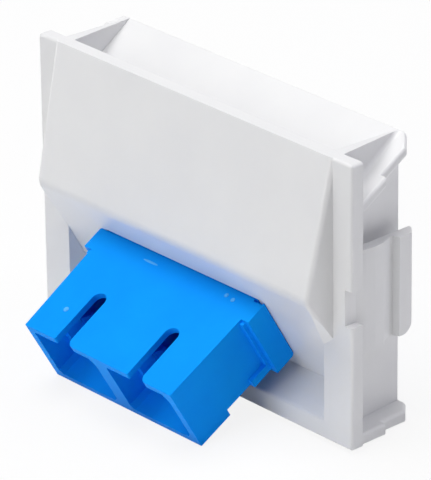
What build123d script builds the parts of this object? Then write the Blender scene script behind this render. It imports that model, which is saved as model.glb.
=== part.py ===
from build123d import *
import os

# Snap-in wall insert with a duplex SC fibre adapter tilted downwards. Millimetres.
# X runs to the right seen from the front, Y runs back into the wall and Z runs up.
# The origin is the middle of the faceplate's back face, which seats on the frame.

# Faceplate
PLATE_W = 53.6
PLATE_H = 35.5
PLATE_T = 1.7
PLATE_EDGE_R = 0.4
NOTCH_D = 1.15
NOTCH_H = 4.5

# Hollow body behind the faceplate
BODY_D = 9.15
PLATE_MARGIN = 3.1
BODY_DRAFT = 0.7
WALL_T = 1.5
WALL_BACK_TOP_T = 0.25
BODY_W_FRONT = PLATE_W - 2 * PLATE_MARGIN
BODY_W_BACK = BODY_W_FRONT - 2 * BODY_DRAFT
INNER_W = BODY_W_FRONT - 2 * WALL_T
INNER_W_BACK_TOP = BODY_W_BACK - 2 * WALL_BACK_TOP_T
ROOF_T = 1.15
BASE_T = 1.5

# Tilt of the adapter's axis below the horizontal, shared by the panel, and slope of the roof
TILT = 30.0
ROOF_SLOPE = 31.0

# Hood with its ridge, and the recess under it
RIDGE_OUT = 3.8
RIDGE_H = 18.6
RIDGE_INSET = 0.35
RIDGE_W = BODY_W_FRONT - 2 * RIDGE_INSET
RIDGE_R = 2.0
HOOD_EDGE_R = 0.6
HOOD_CHAMFER_UP = 1.2
HOOD_T = 1.6
PANEL_T = 1.7
FLOOR_H_FRONT = 2.45
FLOOR_SLOPE = 31.0
FLOOR_EDGE_R = 0.5

# Rails of the roof and base that stand out past the side walls
RAIL_OUT_FRONT = 2.75
RAIL_OUT_BACK = 1.95
RAIL_W_FRONT = BODY_W_FRONT + 2 * RAIL_OUT_FRONT
RAIL_W_BACK = BODY_W_FRONT + 2 * RAIL_OUT_BACK
RAIL_FRONT_L = 3.9
RAIL_CORNER = 1.3
RAIL_EDGE_R = 0.35
RAIL_CORNER_R = 0.5

# Snap tongues on the two sides
TONGUE_H = 12.8
TONGUE_ROOT_T = 1.35
TONGUE_T = 0.9
TONGUE_ROOT_OUT = 1.9
TONGUE_ROOT_X = BODY_W_FRONT / 2 + TONGUE_ROOT_OUT
TONGUE_BULGE = 0.5
TONGUE_BULGE_Y = 2.6
TONGUE_BULGE_HALF_L = 1.4
TONGUE_BULGE_EASE = 0.7
TONGUE_GROOVE_Y = 5.75
TONGUE_GROOVE_D = 0.25
TONGUE_GROOVE_L = 0.45
TONGUE_LIP_Y = 6.25
TONGUE_LIP_OUT = 0.9
TONGUE_LIP_L = 1.9
TONGUE_LEAD = 1.0
TONGUE_LEAD_IN = 1.1
TONGUE_STEP = 0.4
TONGUE_STEP_Y = 4.25
TONGUE_CORNER_R = 1.4

# Duplex adapter, along its own axis
PORT_PITCH = 12.7
ADAPTER_DRAFT = 0.38
ADAPTER_W_MOUTH = 2 * PORT_PITCH
ADAPTER_W_MID = ADAPTER_W_MOUTH + 2 * ADAPTER_DRAFT
ADAPTER_H = 9.35
ADAPTER_L = 27.65
ADAPTER_DROP = 4.24
FLANGE_OUT = 1.18
FLANGE_W = ADAPTER_W_MID + 2 * FLANGE_OUT
FLANGE_L = 3.05
FLANGE_BACK_EASE = 0.2
FLANGE_LOW_R = 0.5
FLANGE_NOTCH_W = 1.5
FLANGE_NOTCH_L = 0.35
FLANGE_NOTCH_H = 0.5
FLANGE_STEP_OUT = 0.52
FLANGE_STEP_L = 0.5
FLANGE_STEP_TOP = 0.35
FLANGE_STEP_LOW = 1.4
FOOT_L = 3.15
FOOT_H = 1.05
FOOT_RISE = 0.75
LIP_L = 5.05
REBATE_H = 0.95
REBATE_W = 1.25
PORT_PLAY = 0.1
PLUG_W = 9.0
PLUG_H = 7.4
PORT_W = PLUG_W + PORT_PLAY
PORT_H = PLUG_H + 2 * PORT_PLAY
MOUTH_WALL = 2.3
MOUTH_PORT_W = PORT_PITCH - MOUTH_WALL
MOUTH_ZONE_L = 3.2
MOUTH_TOP_R_LEFT = 0.3
MOUTH_TOP_R_RIGHT = 1.4
MOUTH_LOW_CHAMFER = 0.6
SLOT_W = 2.1
SLOT_L = 7.8
SLOT_MOUTH_R_LEFT = 0.25
SLOT_MOUTH_R_RIGHT = 1.0
CUTOUT_CLEARANCE = 0.2

# Sleeve holders and split sleeves
HOLDER_CLEARANCE = 0.05
POCKET_STEP = 0.7
POCKET_RISE = 0.25
POCKET_W = PORT_W + 2 * POCKET_STEP
POCKET_H = PORT_H + 2 * POCKET_RISE
HOLDER_TUBE_D = 4.9
HOLDER_TUBE_L = 5.2
HOLDER_LIP_L = 0.6
HOLDER_LIP_D = 2.9
SLEEVE_D = 3.2
SLEEVE_BORE_D = 2.52
SLEEVE_L = 11.4
SLEEVE_SLIT = 0.5
SLEEVE_CLEARANCE = 0.05
HOOK_ARM_T = 0.85
HOOK_ARM_H = 2.6
HOOK_ARM_L = 7.0
HOOK_FLEX_GAP = 0.3
HOOK_HEAD_L = 1.4
HOOK_HEAD_IN = 0.55
HOOK_ROOT = 0.5

# Spring clips that catch behind the panel
CLIP_T = 0.3
CLIP_H = 5.0
CLIP_L = 7.6
CLIP_START = 1.2
CLIP_SPREAD = 1.1
CLIP_CATCH_GAP = 0.05
CLIP_SIDE_GAP = 0.05

CUT_OVER = 2.0
BOTTOM = -PLATE_H / 2
TOP = PLATE_H / 2
FRONT = -PLATE_T


def tilted(y, z, along, up):
    """A point moved along the adapter's axis and up across it, seen from the side."""
    axis = Vector(0, 1, 0).rotate(Axis.X, TILT)
    across = Vector(0, 0, 1).rotate(Axis.X, TILT)
    return (y + axis.Y * along + across.Y * up, z + axis.Z * along + across.Z * up)


def at_height(y, z, height):
    """The point of the tilted panel's line through (y, z) at another height."""
    across = Vector(0, 0, 1).rotate(Axis.X, TILT)
    return (y + across.Y * (height - z) / across.Z, height)


def panel_direction():
    across = Vector(0, 0, 1).rotate(Axis.X, TILT)
    return (across.Y, across.Z)


def meet(p, d, q, e):
    """Where the line from p along d crosses the line from q along e."""
    cross = d[0] * e[1] - d[1] * e[0]
    t = ((q[0] - p[0]) * e[1] - (q[1] - p[1]) * e[0]) / cross
    return (p[0] + d[0] * t, p[1] + d[1] * t)


def side_prism(points, width):
    """A prism of full width across X whose side view is the polygon of (y, z) points."""
    face = make_face(Plane.YZ * Polyline(*points, close=True))
    return extrude(face, amount=width / 2, both=True)


def plan_prism(points, low, high):
    """A prism between two heights whose plan is the polygon of (x, y) points."""
    face = make_face(Plane.XY.offset(low) * Polyline(*points, close=True))
    return extrude(face, amount=high - low)


def trapezium_plan(half_front, half_back, front, back, low, high):
    """A block whose half width changes evenly from its front to its back."""
    outline = [
        (-half_front, front),
        (half_front, front),
        (half_back, back),
        (-half_back, back),
    ]
    return plan_prism(outline, low, high)


def box_between(x0, x1, y0, y1, z0, z1):
    """A box between its six limits."""
    centre = Pos((x0 + x1) / 2, (y0 + y1) / 2, (z0 + z1) / 2)
    return centre * Box(x1 - x0, y1 - y0, z1 - z0)


RIDGE = (FRONT - RIDGE_OUT, BOTTOM + RIDGE_H)


def panel_line(height, depth):
    """The panel's line at a height, moved into the panel by a depth across it."""
    y, z = tilted(RIDGE[0], RIDGE[1], depth, 0)
    return at_height(y, z, height)


def panel_at(y):
    """The point of the panel's front face at a distance back."""
    across = Vector(0, 0, 1).rotate(Axis.X, TILT)
    return (y, RIDGE[1] + (y - RIDGE[0]) * across.Z / across.Y)


PANEL_AT_PLATE = panel_at(FRONT)


def floor_height(y):
    """Height of the recess floor, which rises evenly towards the back."""
    rise = Vector(0, 1, 0).rotate(Axis.X, FLOOR_SLOPE)
    return BOTTOM + FLOOR_H_FRONT + (y - FRONT) * rise.Z / rise.Y


def floor_meets_panel():
    """The point where the recess floor runs into the panel's front face."""
    rise = Vector(0, 1, 0).rotate(Axis.X, FLOOR_SLOPE)
    start = (FRONT, floor_height(FRONT))
    return meet(start, (rise.Y, rise.Z), PANEL_AT_PLATE, panel_direction())


def roof_height(y, below=0.0):
    """Height of the roof's upper face, or of a face a distance below it across the roof."""
    slope = Vector(0, 1, 0).rotate(Axis.X, ROOF_SLOPE)
    return TOP - (BODY_D - y) * slope.Z / slope.Y - below / slope.Y


# Faceplate with a notch in each upright edge
def faceplate():
    plate = box_between(-PLATE_W / 2, PLATE_W / 2, FRONT, 0, BOTTOM, TOP)
    plate = fillet(plate.edges().filter_by(Axis.Y), PLATE_EDGE_R)
    plate = fillet(plate.edges().group_by(Axis.Y)[0], PLATE_EDGE_R * 0.95)
    for side in (-1, 1):
        notch = Pos(side * PLATE_W / 2, FRONT / 2, 0) * Box(2 * NOTCH_D, PLATE_T + CUT_OVER, NOTCH_H)
        plate -= notch
    return plate


# Wedge hood: front face down to the ridge, then the tilted panel back to the faceplate
def hood():
    rise = (TOP - RIDGE[1]) / (FRONT - RIDGE[0])
    above = RIDGE[1] - RIDGE[0] * rise
    profile = [(0, above), RIDGE, panel_at(0)]
    wedge = side_prism(profile, PLATE_W)
    ridge_edge = wedge.edges().filter_by(Axis.X).sort_by(Axis.Y)[0]
    wedge = fillet(ridge_edge, RIDGE_R)
    spread = (BODY_W_FRONT - RIDGE_W) / 2 / (FRONT - RIDGE[0])
    half_at_origin = RIDGE_W / 2 - RIDGE[0] * spread
    wedge &= trapezium_plan(RIDGE_W / 2, half_at_origin, RIDGE[0], 0, 2 * BOTTOM, above)
    side_edges = [e for e in wedge.edges() if is_hood_side_edge(e)]
    wedge = fillet(side_edges, HOOD_EDGE_R)
    for side in (-1, 1):
        wedge -= hood_corner_waste(side)
    return wedge & side_prism([(RIDGE[0], BOTTOM), (0, BOTTOM), (0, TOP), (RIDGE[0], TOP)], PLATE_W)


def hood_corner_waste(side):
    """The waste of the chamfer that widens from the ridge's end to the recess's corner."""
    ridge_end = Vector(side * RIDGE_W / 2, RIDGE[0], RIDGE[1])
    recess_corner = Vector(side * INNER_W / 2, FRONT, PANEL_AT_PLATE[1])
    on_side = Vector(side * BODY_W_FRONT / 2, FRONT, PANEL_AT_PLATE[1] + HOOD_CHAMFER_UP)
    normal = (recess_corner - ridge_end).cross(on_side - ridge_end).normalized()
    if normal.X * side < 0:
        normal = normal * -1
    cut_plane = Plane(origin=ridge_end, x_dir=recess_corner - ridge_end, z_dir=normal)
    return cut_plane * Pos(0, 0, PLATE_H / 2) * Box(2 * PLATE_H, 2 * PLATE_H, PLATE_H)


def is_hood_side_edge(edge):
    """Whether an edge runs along a side of the hood's front, its ridge or its panel."""
    centre = edge.center()
    return abs(centre.X) > RIDGE_W / 2 - 0.01 and centre.Y < -0.01


# Side rails: the outline of a slab that stands out past the walls
def rail_outline(low, high):
    wide = RAIL_W_FRONT / 2
    slim = RAIL_W_BACK / 2
    right = [
        (wide, 0),
        (wide, RAIL_FRONT_L),
        (slim, RAIL_FRONT_L),
        (slim, BODY_D - RAIL_CORNER),
        (slim - RAIL_CORNER, BODY_D),
    ]
    left = [(-x, y) for x, y in reversed(right)]
    return plan_prism(right + left, low, high)


def roof_slab():
    profile = [
        (0, roof_height(0)),
        (BODY_D, TOP),
        (BODY_D, roof_height(BODY_D, ROOF_T)),
        (0, roof_height(0, ROOF_T)),
    ]
    slab = side_prism(profile, PLATE_W) & rail_outline(BOTTOM, TOP)
    outer = [e for e in slab.edges() if abs(e.center().X) > BODY_W_FRONT / 2 + RAIL_EDGE_R]
    long_edges = [e for e in outer if abs(e.tangent_at(0.5).Y) > 0.5 and e.length > 1]
    return fillet(long_edges, RAIL_EDGE_R)


def base_slab():
    slab = rail_outline(BOTTOM, BOTTOM + BASE_T)
    outer = [e for e in slab.edges() if abs(e.center().X) > BODY_W_FRONT / 2 + RAIL_EDGE_R]
    long_edges = [e for e in outer if abs(e.tangent_at(0.5).Y) > 0.5 and e.length > 1]
    return fillet(long_edges, RAIL_EDGE_R)


# Snap tongue: springs from the faceplate, with a bulge, a groove and a lead-in lip
def snap_tongue(side):
    root = TONGUE_ROOT_X
    root_inner = root - TONGUE_ROOT_T
    inner = root - TONGUE_T
    eased = root + TONGUE_BULGE * TONGUE_BULGE_EASE
    groove = root - TONGUE_GROOVE_D
    lip = groove + TONGUE_LIP_OUT
    back = TONGUE_LIP_Y + TONGUE_LIP_L
    outline = [
        (root_inner, 0),
        (root, 0),
        (eased, TONGUE_BULGE_Y - TONGUE_BULGE_HALF_L),
        (root + TONGUE_BULGE, TONGUE_BULGE_Y),
        (eased, TONGUE_BULGE_Y + TONGUE_BULGE_HALF_L),
        (groove, TONGUE_GROOVE_Y - TONGUE_GROOVE_L / 2),
        (groove, TONGUE_GROOVE_Y + TONGUE_GROOVE_L / 2),
        (lip, TONGUE_LIP_Y),
        (lip, back),
        (lip - TONGUE_LEAD_IN, back + TONGUE_LEAD),
        (inner, back + TONGUE_LEAD),
        (inner, TONGUE_BULGE_Y),
    ]
    low = -TONGUE_H / 2
    tongue = plan_prism(outline, low, TONGUE_H / 2)
    undercut = box_between(
        inner - 1, lip + 1, TONGUE_STEP_Y, back + CUT_OVER, low - 1, low + TONGUE_STEP
    )
    tongue -= undercut
    tongue -= tongue_corner_cut(inner, lip, back, low + TONGUE_STEP)
    if side < 0:
        tongue = mirror(tongue, Plane.YZ)
    return tongue


def tongue_corner_cut(inner, lip, back, low):
    """The waste outside the lip's rounded lower back corner."""
    r = TONGUE_CORNER_R
    corner = box_between(inner - 1, lip + 1, back - r, back + TONGUE_LEAD + 1, low - 1, low + r)
    round_bar = Pos((inner + lip) / 2, back - r, low + r) * Rot(0, 90, 0) * Cylinder(r, lip - inner + 4)
    return corner - round_bar


def is_sill(edge):
    """Whether an edge is the front edge of the recess floor."""
    centre = edge.center()
    return abs(centre.Y - FRONT) < 0.01 and abs(centre.Z - floor_height(FRONT)) < 0.01


def is_rail_corner(edge):
    """Whether an edge is the corner between a side wall and the upper face of the roof's rail."""
    centre = edge.center()
    beside_wall = BODY_W_BACK / 2 - 0.1 < abs(centre.X) < BODY_W_FRONT / 2 + 0.1
    on_roof = abs(centre.Z - roof_height(centre.Y)) < 0.05
    return beside_wall and on_roof and 0.1 < centre.Y < BODY_D - 0.1


def insert_housing():
    body = trapezium_plan(BODY_W_FRONT / 2, BODY_W_BACK / 2, 0, BODY_D, BOTTOM, TOP)
    solid = body + hood() + faceplate() + roof_slab() + base_slab()

    # open pocket over the roof, between the side walls
    pocket_side = [(0, TOP + CUT_OVER), (0, roof_height(0)), (BODY_D, TOP), (BODY_D, TOP + CUT_OVER)]
    pocket = side_prism(pocket_side, PLATE_W)
    pocket &= trapezium_plan(INNER_W / 2, INNER_W_BACK_TOP / 2, 0, BODY_D, BOTTOM, TOP + CUT_OVER)
    solid -= pocket

    # hollow inside, open at the back
    panel_back_low = panel_line(BOTTOM + BASE_T, PANEL_T)
    hood_dir = Vector(0, RIDGE[0] - FRONT, RIDGE[1] - TOP).normalized()
    hood_in = Vector(0, -hood_dir.Z, hood_dir.Y) * HOOD_T
    inner_top = (FRONT + hood_in.Y, TOP + hood_in.Z)
    inner_ridge = meet(inner_top, (hood_dir.Y, hood_dir.Z), panel_back_low, panel_direction())
    roof_low = (BODY_D, roof_height(BODY_D, ROOF_T))
    roof_dir = (1, roof_height(1) - roof_height(0))
    inner_roof = meet(inner_top, (hood_dir.Y, hood_dir.Z), roof_low, roof_dir)
    back = BODY_D + CUT_OVER
    cavity_side = [
        (back, BOTTOM + BASE_T),
        panel_back_low,
        inner_ridge,
        inner_roof,
        (back, roof_height(back, ROOF_T)),
    ]
    solid -= side_prism(cavity_side, INNER_W)

    # recess under the hood, in front of the panel
    corner = floor_meets_panel()
    ahead = FRONT - CUT_OVER
    recess_side = [
        (ahead, floor_height(ahead)),
        corner,
        panel_at(ahead),
    ]
    solid -= side_prism(recess_side, INNER_W)
    sill = [e for e in solid.edges().filter_by(Axis.X) if is_sill(e)]
    solid = fillet(sill, FLOOR_EDGE_R)

    # opening in the panel for the adapter
    opening_w = ADAPTER_W_MID + 2 * CUTOUT_CLEARANCE
    opening_h = ADAPTER_H + 2 * CUTOUT_CLEARANCE
    solid -= ADAPTER_SEAT * Box(opening_w, 4 * PANEL_T, opening_h)

    # soft inner corner where the roof's rails leave the side walls
    corners = [e for e in solid.edges() if is_rail_corner(e)]
    solid = fillet(corners, RAIL_CORNER_R)

    for side in (-1, 1):
        solid += snap_tongue(side)
    return solid


# The adapter's own frame: origin on the panel's front face, level with the plug axes,
# Y back along the axis, Z across it.
seat_y, seat_z = tilted(RIDGE[0], RIDGE[1], 0, -ADAPTER_DROP - ADAPTER_H / 2)
ADAPTER_SEAT = Pos(0, seat_y, seat_z) * Rot(TILT, 0, 0)
MID_PLANE = -FLANGE_L / 2
HALF_L = ADAPTER_L / 2
SEAM = -FLANGE_L
PORT_X = PORT_PITCH / 2


def half_width(y):
    """Half width of the adapter's body, which narrows evenly to each mouth."""
    reach = abs(y - MID_PLANE) / HALF_L
    return (ADAPTER_W_MID + (ADAPTER_W_MOUTH - ADAPTER_W_MID) * reach) / 2


def port_space(sign, start):
    """Plug space of both ports from a plane out to the mouth, wider in the mouth zone."""
    mouth = MID_PLANE + sign * HALF_L
    y0, y1 = sorted((start, mouth + sign))
    m0, m1 = sorted((mouth - sign * MOUTH_ZONE_L, mouth + sign))
    spaces = []
    for x in (-PORT_X, PORT_X):
        spaces.append(box_between(x - PORT_W / 2, x + PORT_W / 2, y0, y1, -PORT_H / 2, PORT_H / 2))
        wide = box_between(
            x - MOUTH_PORT_W / 2, x + MOUTH_PORT_W / 2, m0, m1, -PORT_H / 2, PORT_H / 2
        )
        upper = wide.edges().filter_by(Axis.Y).group_by(Axis.Z)[-1].sort_by(Axis.X)
        wide = fillet(upper[0], MOUTH_TOP_R_LEFT)
        upper = wide.edges().filter_by(Axis.Y).group_by(Axis.Z)[-1].sort_by(Axis.X)
        wide = fillet(upper[-1], MOUTH_TOP_R_RIGHT)
        lower = wide.edges().filter_by(Axis.Y).group_by(Axis.Z)[0]
        wide = chamfer(lower, MOUTH_LOW_CHAMFER)
        spaces.append(wide)
    return spaces


def key_slots(sign):
    """Key slots in the upper wall with a round inner end and eased mouth corners."""
    mouth = MID_PLANE + sign * HALF_L
    end = mouth - sign * (SLOT_L - SLOT_W / 2)
    slots = []
    for x in (-PORT_X, PORT_X):
        y0, y1 = sorted((end, mouth + sign))
        slots.append(box_between(x - SLOT_W / 2, x + SLOT_W / 2, y0, y1, 0, ADAPTER_H))
        slots.append(Pos(x, end, ADAPTER_H / 2) * Cylinder(SLOT_W / 2, ADAPTER_H))
        for edge, r in ((-1, SLOT_MOUTH_R_LEFT), (1, SLOT_MOUTH_R_RIGHT)):
            corner_x = x + edge * (SLOT_W + r) / 2
            block = Pos(corner_x, mouth - sign * r / 2, ADAPTER_H / 2) * Box(r, r, ADAPTER_H)
            bar_x = x + edge * (SLOT_W / 2 + r)
            block -= Pos(bar_x, mouth - sign * r, ADAPTER_H / 2) * Cylinder(r, ADAPTER_H + 1)
            slots.append(block)
    return slots


def half_body(sign, start):
    """Outside of one half of the adapter, with its lower edges rebated behind the lip."""
    mouth = MID_PLANE + sign * HALF_L
    y0, y1 = sorted((start, mouth))
    body = trapezium_plan(half_width(y0), half_width(y1), y0, y1, -ADAPTER_H / 2, ADAPTER_H / 2)
    r0, r1 = sorted((start, mouth - sign * LIP_L))
    for side in (-1, 1):
        edge = side * ADAPTER_W_MID / 2
        x0, x1 = sorted((edge - side * REBATE_W, edge + side))
        body -= box_between(x0, x1, r0, r1, -ADAPTER_H, -ADAPTER_H / 2 + REBATE_H)
    return body


def flange():
    """The seat that stands out past the body, eased at the back, with a small notch at the top right."""
    block = box_between(-FLANGE_W / 2, FLANGE_W / 2, SEAM, 0, -ADAPTER_H / 2, ADAPTER_H / 2)
    low_back = block.edges().group_by(Axis.Y)[-1].filter_by(Axis.X).sort_by(Axis.Z)[0]
    block = fillet(low_back, FLANGE_LOW_R)
    upright = block.edges().group_by(Axis.Y)[-1].filter_by(Axis.Z)
    block = chamfer(upright, FLANGE_BACK_EASE)
    notch_x = FLANGE_W / 2 - FLANGE_BACK_EASE
    top = ADAPTER_H / 2
    return block - box_between(notch_x - FLANGE_NOTCH_W, notch_x, -FLANGE_NOTCH_L, 1, top - FLANGE_NOTCH_H, top + 1)


def adapter_front_housing():
    body = half_body(-1, SEAM) + flange()
    top = ADAPTER_H / 2 - FLANGE_STEP_TOP
    low = -ADAPTER_H / 2 + FLANGE_STEP_LOW
    outer = ADAPTER_W_MID / 2 + FLANGE_STEP_OUT
    inner = half_width(SEAM) - REBATE_W
    for side in (-1, 1):
        x0, x1 = sorted((side * inner, side * outer))
        body += box_between(x0, x1, SEAM - FLANGE_STEP_L, SEAM, low, top)
        foot_low = -ADAPTER_H / 2 + FOOT_RISE
        body += box_between(x0, x1, SEAM - FOOT_L, SEAM, foot_low, foot_low + FOOT_H)
    for x in (-PORT_X, PORT_X):
        body -= box_between(
            x - POCKET_W / 2, x + POCKET_W / 2, SEAM, 1, -POCKET_H / 2, POCKET_H / 2
        )
    for space in port_space(-1, 0) + key_slots(-1):
        body -= space
    return ADAPTER_SEAT * body


def adapter_rear_housing():
    body = half_body(1, 0)
    for space in port_space(1, -1) + key_slots(1):
        body -= space
    for side in (-1, 1):
        body -= clip_bed(side)
    return ADAPTER_SEAT * body


# Sleeve holder, front form at the left port: flange in the pocket, tube and two latch hooks
def sleeve_holder(sign, x):
    inner_w = POCKET_W - 2 * HOLDER_CLEARANCE
    inner_h = POCKET_H - 2 * HOLDER_CLEARANCE
    plate_l = FLANGE_L / 2
    holder = Pos(0, plate_l / 2, 0) * Box(inner_w, plate_l, inner_h)
    tube_end = plate_l + HOLDER_TUBE_L
    holder += Pos(0, tube_end / 2, 0) * Rot(90, 0, 0) * Cylinder(HOLDER_TUBE_D / 2, tube_end)
    for side in (-1, 1):
        holder += latch_hook(side, plate_l)
    bore_l = tube_end - HOLDER_LIP_L
    bore_r = SLEEVE_D / 2 + SLEEVE_CLEARANCE
    holder -= Pos(0, bore_l / 2, 0) * Rot(90, 0, 0) * Cylinder(bore_r, bore_l)
    holder -= Pos(0, tube_end / 2, 0) * Rot(90, 0, 0) * Cylinder(HOLDER_LIP_D / 2, tube_end + 1)
    if sign < 0:
        holder = Rot(0, 0, 180) * holder
    return ADAPTER_SEAT * Pos(x, MID_PLANE, 0) * holder


def latch_hook(side, start):
    """A springy arm beside the tube, ending in a head that points inwards."""
    outer = PORT_W / 2 - HOOK_FLEX_GAP
    inner = outer - HOOK_ARM_T
    tip = start + HOOK_ARM_L
    outline = [
        (outer, start - HOOK_ROOT),
        (outer, tip),
        (inner, tip),
        (inner - HOOK_HEAD_IN, tip - HOOK_HEAD_L / 2),
        (inner - HOOK_HEAD_IN, tip - HOOK_HEAD_L),
        (inner, tip - HOOK_HEAD_L),
        (inner, start - HOOK_ROOT),
    ]
    outline = [(side * x, y) for x, y in outline]
    return plan_prism(outline, -HOOK_ARM_H / 2, HOOK_ARM_H / 2)


def alignment_sleeve(x):
    sleeve = Cylinder(SLEEVE_D / 2, SLEEVE_L) - Cylinder(SLEEVE_BORE_D / 2, SLEEVE_L + 1)
    sleeve -= Pos(SLEEVE_D / 2, 0, 0) * Box(SLEEVE_D, SLEEVE_SLIT, SLEEVE_L + 1)
    return ADAPTER_SEAT * Pos(x, MID_PLANE, 0) * Rot(90, 0, 0) * sleeve


def clip_bed(side):
    """Shallow bed in the rear housing's side for the clip's inner leg."""
    outer = half_width(CLIP_START)
    floor = half_width(CLIP_START + CLIP_L) - CLIP_T - CLIP_SIDE_GAP
    x0, x1 = sorted((side * floor, side * (outer + 1)))
    return box_between(x0, x1, CLIP_START, CLIP_START + CLIP_L, -CLIP_H / 2, CLIP_H / 2)


# Spring clip: a leg lying in its bed and an arm that flares out to the panel's back face
def retaining_clip(side):
    floor = half_width(CLIP_START + CLIP_L) - CLIP_T - CLIP_SIDE_GAP
    back = CLIP_START + CLIP_L - CLIP_SIDE_GAP
    start = PANEL_T + CLIP_CATCH_GAP
    leg_out = floor + CLIP_T
    arm_tip = ADAPTER_W_MID / 2 + CUTOUT_CLEARANCE + CLIP_SPREAD
    outline = [
        (floor, start),
        (floor, back),
        (leg_out + 2 * CLIP_T, back),
        (arm_tip, start),
        (arm_tip - CLIP_T, start),
        (leg_out + CLIP_T, back - CLIP_T),
        (leg_out, back - CLIP_T),
        (leg_out, start),
    ]
    outline = [(side * x, y) for x, y in outline]
    low = -CLIP_H / 2 + CLIP_SIDE_GAP
    return ADAPTER_SEAT * plan_prism(outline, low, -low)


os.makedirs("parts", exist_ok=True)
nodes = {
    "insert_housing": insert_housing(),
    "adapter_front_housing": adapter_front_housing(),
    "adapter_rear_housing": adapter_rear_housing(),
    "alignment_sleeve_left": alignment_sleeve(-PORT_X),
    "alignment_sleeve_right": alignment_sleeve(PORT_X),
    "retaining_clip_left": retaining_clip(-1),
    "retaining_clip_right": retaining_clip(1),
}
for end, sign in (("front", -1), ("rear", 1)):
    for place, x in (("left", -PORT_X), ("right", PORT_X)):
        nodes[f"sleeve_holder_{end}_{place}"] = sleeve_holder(sign, x)

for name, shape in nodes.items():
    shape.label = name
    export_step(shape, f"parts/{name}.step")
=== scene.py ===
import math

import bpy
import numpy as np
from mathutils import Matrix, Vector


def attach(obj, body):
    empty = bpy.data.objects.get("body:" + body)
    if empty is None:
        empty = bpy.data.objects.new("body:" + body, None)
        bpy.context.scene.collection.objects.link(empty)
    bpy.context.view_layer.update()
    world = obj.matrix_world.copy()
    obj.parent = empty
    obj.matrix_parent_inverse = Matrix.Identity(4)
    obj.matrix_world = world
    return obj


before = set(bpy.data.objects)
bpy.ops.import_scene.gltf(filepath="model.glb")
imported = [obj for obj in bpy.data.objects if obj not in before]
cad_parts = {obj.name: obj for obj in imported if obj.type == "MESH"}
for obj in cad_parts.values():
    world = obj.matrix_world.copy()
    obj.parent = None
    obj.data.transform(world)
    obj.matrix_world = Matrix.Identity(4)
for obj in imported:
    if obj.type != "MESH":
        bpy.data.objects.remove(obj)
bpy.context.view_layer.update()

scene = bpy.context.scene
scene.view_settings.view_transform = "Standard"

# Camera
# A long lens, about 0.55 m away, above the front right corner. The angles, the distance and the
# two offsets of the aim come from a fit of the photo's corners, for an image of 431 by 480.
IMAGE_W = 431
FOCAL_PX = 4749.41
SENSOR_MM = 36
AZIMUTH = math.radians(48.15)
ELEVATION = math.radians(24.94)
ROLL = math.radians(-0.79)
DISTANCE = 0.54796
AIM = Vector((0, -0.0017, 0.00425))
AIM_RIGHT = 0.00276
AIM_UP = -0.00402

back = Vector((math.sin(AZIMUTH) * math.cos(ELEVATION), -math.cos(AZIMUTH) * math.cos(ELEVATION),
               math.sin(ELEVATION)))
level_right = Vector((math.cos(AZIMUTH), math.sin(AZIMUTH), 0))
level_up = back.cross(level_right)
right = math.cos(ROLL) * level_right + math.sin(ROLL) * level_up
up = -math.sin(ROLL) * level_right + math.cos(ROLL) * level_up
stand = AIM + right * AIM_RIGHT + up * AIM_UP + back * DISTANCE
camera_data = bpy.data.cameras.new("photo_camera")
camera_data.sensor_fit = "HORIZONTAL"
camera_data.sensor_width = SENSOR_MM
camera_data.lens = FOCAL_PX / IMAGE_W * SENSOR_MM
camera_data.clip_start = 0.01
camera_data.clip_end = 20
camera = bpy.data.objects.new("photo_camera", camera_data)
scene.collection.objects.link(camera)
camera.matrix_world = Matrix.Translation(stand) @ Matrix((right, up, back)).transposed().to_4x4()
scene.camera = camera

# Wall insert
# One white ABS moulding: faceplate, hood, tilted panel, body walls, rails and snap tongues.
# It is injection moulded in a satin tool, and its edges carry the tool's small radii.
HOUSING_LIGHT = "#E9E9E9"
HOUSING_DARK = "#E5E5E6"
HOUSING_EDGE_MM = 0.16
LOW, HIGH = 0.3, 0.7  # the part of a noise pattern's range that the ramps spread out


def linear(hex_colour):
    """sRGB hex to linear: c/12.92 below 0.04045, else ((c + 0.055)/1.055)^2.4."""
    channels = [int(hex_colour[i:i + 2], 16) / 255 for i in (1, 3, 5)]
    return [c / 12.92 if c <= 0.04045 else ((c + 0.055) / 1.055) ** 2.4 for c in channels] + [1.0]


def grey(value):
    return [value, value, value, 1.0]


def add(tree, kind, inputs=None, stops=(), **settings):
    """Adds a node with its settings, its ramp's stops, and its inputs as values or as links."""
    node = tree.nodes.new(kind)
    for setting, value in settings.items():
        setattr(node, setting, value)
    for number, (position, colour) in enumerate(stops):
        node.color_ramp.elements[number].position = position
        node.color_ramp.elements[number].color = colour
    for socket, value in (inputs or {}).items():
        if isinstance(value, bpy.types.NodeSocket):
            tree.links.new(value, node.inputs[socket])
        else:
            node.inputs[socket].default_value = value
    return node


def empty_material(name):
    """A material whose node tree is still empty, and that tree."""
    material = bpy.data.materials.new(name)
    material.use_nodes = True
    tree = material.node_tree
    tree.nodes.clear()
    return material, tree


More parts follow.
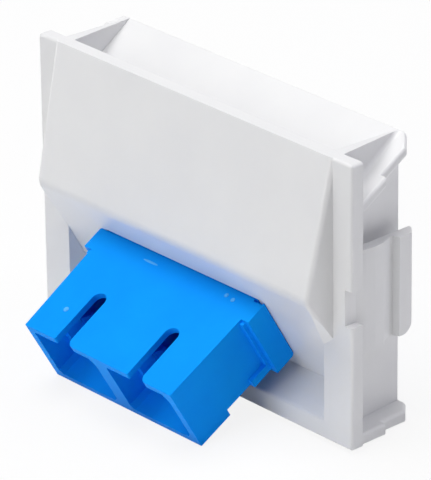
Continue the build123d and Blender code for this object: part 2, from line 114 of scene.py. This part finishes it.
def satin_white_moulding(name, light, dark):
    """White ABS, injection moulded in a tool with a fine satin texture.

    Fine grain is the spark-eroded texture of the tool, the wide soft waves are flow and sink,
    and the colour drifts very slightly with them.
    """
    wave_mm, wave_depth_mm = 9.0, 0.010
    grain_mm, grain_depth_mm = 0.16, 0.0012
    material, tree = empty_material(name)
    place = add(tree, "ShaderNodeTexCoord").outputs["Object"]
    waves = add(tree, "ShaderNodeTexNoise",
                {"Vector": place, "Scale": 1000 / wave_mm, "Detail": 3.0}).outputs["Fac"]
    grain = add(tree, "ShaderNodeTexNoise",
                {"Vector": place, "Scale": 1000 / grain_mm, "Detail": 2.0}).outputs["Fac"]
    colour = add(tree, "ShaderNodeValToRGB", {"Fac": waves},
                 stops=((LOW, linear(dark)), (HIGH, linear(light))))
    gloss = add(tree, "ShaderNodeValToRGB", {"Fac": grain}, stops=((LOW, grey(0.30)), (HIGH, grey(0.40))))
    wavy = add(tree, "ShaderNodeBump", {"Height": waves, "Distance": wave_depth_mm / 1000, "Strength": 1.0})
    grained = add(tree, "ShaderNodeBump", {"Height": grain, "Distance": grain_depth_mm / 1000,
                                           "Strength": 1.0, "Normal": wavy.outputs["Normal"]})
    shader = add(tree, "ShaderNodeBsdfPrincipled", {
        "Base Color": colour.outputs["Color"], "Roughness": gloss.outputs["Color"], "IOR": 1.53,
        "Normal": grained.outputs["Normal"]})
    add(tree, "ShaderNodeOutputMaterial", {"Surface": shader.outputs["BSDF"]})
    return material


def dress(node_name, material):
    """Gives a CAD node its one material."""
    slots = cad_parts[node_name].data.materials
    slots.clear()
    slots.append(material)


def soften(node_name, width_mm):
    """Small moulded radii on a CAD node: welds the faces, joins flat ones, then rounds sharp edges."""
    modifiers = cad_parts[node_name].modifiers
    modifiers.new("weld", "WELD").merge_threshold = 1e-6
    planar = modifiers.new("planar", "DECIMATE")
    planar.decimate_type = "DISSOLVE"
    planar.angle_limit = math.radians(0.3)
    rounds = modifiers.new("rounds", "BEVEL")
    rounds.limit_method = "ANGLE"
    rounds.angle_limit = math.radians(28)
    rounds.width = width_mm / 1000
    rounds.segments = 2
    rounds.use_clamp_overlap = True
    rounds.harden_normals = True


dress("insert_housing", satin_white_moulding("housing_plastic", HOUSING_LIGHT, HOUSING_DARK))
soften("insert_housing", HOUSING_EDGE_MM)

# Adapter
# Two blue PBT halves, injection moulded and joined at the panel's front face. The front one
# has the mouth, key slots and flange, and the rear one goes through the panel.
ADAPTER_LIGHT = "#0F9CFF"
ADAPTER_DARK = "#0D96FF"
ADAPTER_EDGE_MM = 0.14
ADAPTER_GLOSS = 0.36


def satin_blue_moulding(name, light, dark, roughness):
    """Blue PBT, injection moulded, with the low satin gloss of a filled plastic.

    The grain is the tool's texture and the fill, and the wide waves are flow marks.
    """
    wave_mm, wave_depth_mm = 6.0, 0.012
    grain_mm, grain_depth_mm = 0.12, 0.0012
    drift = 0.05
    material, tree = empty_material(name)
    place = add(tree, "ShaderNodeTexCoord").outputs["Object"]
    waves = add(tree, "ShaderNodeTexNoise",
                {"Vector": place, "Scale": 1000 / wave_mm, "Detail": 3.0}).outputs["Fac"]
    grain = add(tree, "ShaderNodeTexNoise",
                {"Vector": place, "Scale": 1000 / grain_mm, "Detail": 2.0}).outputs["Fac"]
    colour = add(tree, "ShaderNodeValToRGB", {"Fac": waves},
                 stops=((LOW, linear(dark)), (HIGH, linear(light))))
    gloss = add(tree, "ShaderNodeValToRGB", {"Fac": grain},
                stops=((LOW, grey(roughness - drift)), (HIGH, grey(roughness + drift))))
    wavy = add(tree, "ShaderNodeBump", {"Height": waves, "Distance": wave_depth_mm / 1000, "Strength": 1.0})
    grained = add(tree, "ShaderNodeBump", {"Height": grain, "Distance": grain_depth_mm / 1000,
                                           "Strength": 1.0, "Normal": wavy.outputs["Normal"]})
    shader = add(tree, "ShaderNodeBsdfPrincipled", {
        "Base Color": colour.outputs["Color"], "Roughness": gloss.outputs["Color"], "IOR": 1.55,
        "Specular IOR Level": 0.012, "Normal": grained.outputs["Normal"]})
    add(tree, "ShaderNodeOutputMaterial", {"Surface": shader.outputs["BSDF"]})
    return material


adapter_plastic = satin_blue_moulding("adapter_plastic", ADAPTER_LIGHT, ADAPTER_DARK, ADAPTER_GLOSS)
for name in ("adapter_front_housing", "adapter_rear_housing"):
    dress(name, adapter_plastic)
    soften(name, ADAPTER_EDGE_MM)

# Marks on the adapter
# Three round moulding pips and one short scuff, part of the upper face and paler than the satin
# around them. TILT, SEAT_Y, SEAT_Z and TOP_FACE give that face's place, in degrees and mm.
TILT = math.radians(30)
SEAT_Y = -1.045
SEAT_Z = -6.866
TOP_FACE = 4.675
PIP_LIGHT = "#60BAFF"
PIP_DARK = "#50B0FF"
PIP_GLOSS = 0.25
# Place across and along the adapter, half width, half length and height, in mm.
MARKS = [
    (8.75, -1.1, 0.3, 0.3, 0.09),
    (10.0, -1.3, 0.3, 0.3, 0.09),
    (-9.3, -11.35, 0.36, 0.36, 0.1),
    (-4.1, -1.35, 1.25, 0.16, 0.03),
]


def low_domes(marks, rings=6, sectors=20):
    """Points and faces of flattened ellipsoids half sunk in the adapter's upper face.

    Point = place + (half width x sin(a) cos(b), half length x sin(a) sin(b), height x cos(a)),
    with a from pole to pole in rings and b around in sectors. It is then turned by TILT about X
    and moved to the seat, from the adapter's own frame to the row's.
    """
    x, y, half_x, half_y, height = np.array(marks).T[:, :, None]
    a, b = np.meshgrid(np.linspace(0, np.pi, rings + 1)[1:-1],
                       np.linspace(0, 2 * np.pi, sectors, endpoint=False), indexing="ij")
    a = np.append(a, [0, np.pi])
    b = np.append(b, [0, 0])
    across = x + half_x * np.sin(a) * np.cos(b)
    along = y + half_y * np.sin(a) * np.sin(b)
    above = TOP_FACE + height * np.cos(a)
    points = np.stack([across, SEAT_Y + math.cos(TILT) * along - math.sin(TILT) * above,
                       SEAT_Z + math.sin(TILT) * along + math.cos(TILT) * above], axis=-1) / 1000

    here = np.arange(sectors)
    after = (here + 1) % sectors
    last = (rings - 2) * sectors
    top = np.full(sectors, last + sectors)
    row = sectors * np.arange(rings - 2)[:, None]
    start = a.size * np.arange(len(marks))[:, None, None]
    quads = np.stack([row + here, row + sectors + here, row + sectors + after, row + after], axis=-1)
    caps = np.stack([[top, here, after], [top + 1, last + after, last + here]]).transpose(0, 2, 1)
    faces = (quads.reshape(-1, 4) + start).reshape(-1, 4).tolist()
    faces += (caps.reshape(-1, 3) + start).reshape(-1, 3).tolist()
    return points.reshape(-1, 3).tolist(), faces


mark_points, mark_faces = low_domes(MARKS)
mark_mesh = bpy.data.meshes.new("adapter_marks")
mark_mesh.from_pydata(mark_points, [], mark_faces)
mark_mesh.update()
mark_mesh.shade_smooth()
mark_mesh.materials.append(satin_blue_moulding("adapter_pips", PIP_LIGHT, PIP_DARK, PIP_GLOSS))
adapter_marks = bpy.data.objects.new("adapter_marks", mark_mesh)
scene.collection.objects.link(adapter_marks)
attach(adapter_marks, "root")

# Sleeve holders
# Four deeper blue mouldings, two to a half of the adapter. Each is a plate with a tube for the
# sleeve and two latch hooks that hold the plug, and it snaps in before the halves are joined.
HOLDER_LIGHT = "#0060C8"
HOLDER_DARK = "#005AC0"
HOLDER_EDGE_MM = 0.06
HOLDER_GLOSS = 0.42

holder_plastic = satin_blue_moulding("holder_plastic", HOLDER_LIGHT, HOLDER_DARK, HOLDER_GLOSS)
for name in ("front_left", "front_right", "rear_left", "rear_right"):
    dress(f"sleeve_holder_{name}", holder_plastic)
    soften(f"sleeve_holder_{name}", HOLDER_EDGE_MM)

# Split sleeves
# Two tubes of zirconia, fired, ground round and slit along one side. They float in the holders
# and line up the ferrules of the two plugs that meet in them.
SLEEVE_LIGHT = "#F4F2EA"
SLEEVE_DARK = "#EEEBE0"


def ground_zirconia(name):
    """White zirconia, fired and ground round: glossy, faintly warm, with a very fine ground grain."""
    grain_mm, grain_depth_mm = 0.05, 0.0004
    material, tree = empty_material(name)
    place = add(tree, "ShaderNodeTexCoord").outputs["Object"]
    grain = add(tree, "ShaderNodeTexNoise",
                {"Vector": place, "Scale": 1000 / grain_mm, "Detail": 1.0}).outputs["Fac"]
    colour = add(tree, "ShaderNodeValToRGB", {"Fac": grain},
                 stops=((LOW, linear(SLEEVE_DARK)), (HIGH, linear(SLEEVE_LIGHT))))
    ground = add(tree, "ShaderNodeBump",
                 {"Height": grain, "Distance": grain_depth_mm / 1000, "Strength": 1.0})
    shader = add(tree, "ShaderNodeBsdfPrincipled", {
        "Base Color": colour.outputs["Color"], "Roughness": 0.18, "IOR": 2.1,
        "Normal": ground.outputs["Normal"]})
    add(tree, "ShaderNodeOutputMaterial", {"Surface": shader.outputs["BSDF"]})
    return material


sleeve_ceramic = ground_zirconia("sleeve_ceramic")
for side in ("left", "right"):
    dress(f"alignment_sleeve_{side}", sleeve_ceramic)

# Spring clips
# Two strips of stainless spring steel, stamped and bent. They sit on the sides of the adapter's
# rear half and catch behind the panel, which pulls the flange against it.
STEEL_LIGHT = "#D2D2D0"
STEEL_DARK = "#BDBDBB"
CLIP_EDGE_MM = 0.05


def rolled_spring_steel(name):
    """Stainless strip, cold rolled and stamped: metallic, with fine lines along the strip.

    The lines are noise stretched 20 times along Y, with a softer gloss between them.
    """
    line_mm, line_depth_mm, stretch = 0.06, 0.0006, 20
    material, tree = empty_material(name)
    place = add(tree, "ShaderNodeTexCoord").outputs["Object"]
    along = add(tree, "ShaderNodeMapping", {"Vector": place, "Scale": (1.0, 1 / stretch, 1.0)})
    lines = add(tree, "ShaderNodeTexNoise", {
        "Vector": along.outputs["Vector"], "Scale": 1000 / line_mm, "Detail": 2.0}).outputs["Fac"]
    colour = add(tree, "ShaderNodeValToRGB", {"Fac": lines},
                 stops=((LOW, linear(STEEL_DARK)), (HIGH, linear(STEEL_LIGHT))))
    gloss = add(tree, "ShaderNodeValToRGB", {"Fac": lines}, stops=((LOW, grey(0.26)), (HIGH, grey(0.38))))
    rolled = add(tree, "ShaderNodeBump", {"Height": lines, "Distance": line_depth_mm / 1000, "Strength": 1.0})
    shader = add(tree, "ShaderNodeBsdfPrincipled", {
        "Base Color": colour.outputs["Color"], "Metallic": 1.0, "Roughness": gloss.outputs["Color"],
        "Normal": rolled.outputs["Normal"]})
    add(tree, "ShaderNodeOutputMaterial", {"Surface": shader.outputs["BSDF"]})
    return material


clip_steel = rolled_spring_steel("clip_steel")
for side in ("left", "right"):
    dress(f"retaining_clip_{side}", clip_steel)
    soften(f"retaining_clip_{side}", CLIP_EDGE_MM)

# Floor
# A pale plane of matt paper that touches the adapter's lower mouth edge and the body's lower
# back edge, the two edges that the insert rests on in the photo. It is mostly seen as white.
MOUTH_LOW = Vector((0, -0.01203, -0.01860))
BODY_LOW = Vector((0, 0.00915, -0.01775))
FLOOR_HALF = 1.5
FLOOR_GAP = 0.00002
PAPER = 0.88
PAPER_SEEN_WHITE = 0.87


def seen_white(tree, share):
    """The share of white for rays of the camera, of reflections and through clear pieces, else 0."""
    paths = add(tree, "ShaderNodeLightPath").outputs
    seen = paths["Is Camera Ray"]
    for kind in ("Is Glossy Ray", "Is Transmission Ray"):
        seen = add(tree, "ShaderNodeMath", {0: seen, 1: paths[kind]}, operation="MAXIMUM").outputs["Value"]
    return add(tree, "ShaderNodeMath", {0: seen, 1: share}, operation="MULTIPLY").outputs["Value"]


floor_mesh = bpy.data.meshes.new("floor")
floor_mesh.from_pydata([(-FLOOR_HALF, -FLOOR_HALF, 0), (FLOOR_HALF, -FLOOR_HALF, 0),
                        (FLOOR_HALF, FLOOR_HALF, 0), (-FLOOR_HALF, FLOOR_HALF, 0)], [], [(0, 1, 2, 3)])
floor = bpy.data.objects.new("floor", floor_mesh)
scene.collection.objects.link(floor)
floor.location = MOUTH_LOW - Vector((0, 0, FLOOR_GAP))
floor.rotation_euler = (math.atan2(BODY_LOW.z - MOUTH_LOW.z, BODY_LOW.y - MOUTH_LOW.y), 0, 0)
floor_paper, tree = empty_material("floor_paper")
paper = add(tree, "ShaderNodeBsdfDiffuse", {"Color": grey(PAPER)})
white = add(tree, "ShaderNodeEmission", {"Color": grey(1.0), "Strength": 1.0})
mix = add(tree, "ShaderNodeMixShader", {0: seen_white(tree, PAPER_SEEN_WHITE), 1: paper.outputs["BSDF"],
                                        2: white.outputs["Emission"]})
add(tree, "ShaderNodeOutputMaterial", {"Surface": mix.outputs["Shader"]})
floor_mesh.materials.append(floor_paper)

# Light
# A wide softbox overhead, one in front and a little above, and a faintly blue one behind the
# right side. The surroundings are faint too, and are seen as white.
SURROUNDINGS = 0.08


def softbox(name, place, size, power, colour="#FFFFFF"):
    """A square area lamp at a place, turned to the object."""
    lamp = bpy.data.lights.new(name, "AREA")
    lamp.shape = "RECTANGLE"
    lamp.size = lamp.size_y = size
    lamp.energy = power
    lamp.color = linear(colour)[:3]
    box = bpy.data.objects.new(name, lamp)
    scene.collection.objects.link(box)
    box.location = place
    box.rotation_euler = Vector(place).to_track_quat("Z", "Y").to_euler()


softbox("key", (-0.19, -0.14, 0.96), 0.8, 9.1)
softbox("front", (0.0, -0.85, 0.31), 0.5, 2.15)
softbox("side", (0.6, 0.5, 0.6), 0.6, 2.7, "#F1F1FF")

scene.world = bpy.data.worlds.new("studio")
scene.world.use_nodes = True
tree = scene.world.node_tree
tree.nodes.clear()
lit = add(tree, "ShaderNodeBackground", {"Color": grey(1.0), "Strength": SURROUNDINGS})
seen = add(tree, "ShaderNodeBackground", {"Color": grey(1.0), "Strength": 1.0})
mix = add(tree, "ShaderNodeMixShader", {0: seen_white(tree, 1.0), 1: lit.outputs["Background"],
                                        2: seen.outputs["Background"]})
add(tree, "ShaderNodeOutputWorld", {"Surface": mix.outputs["Shader"]})
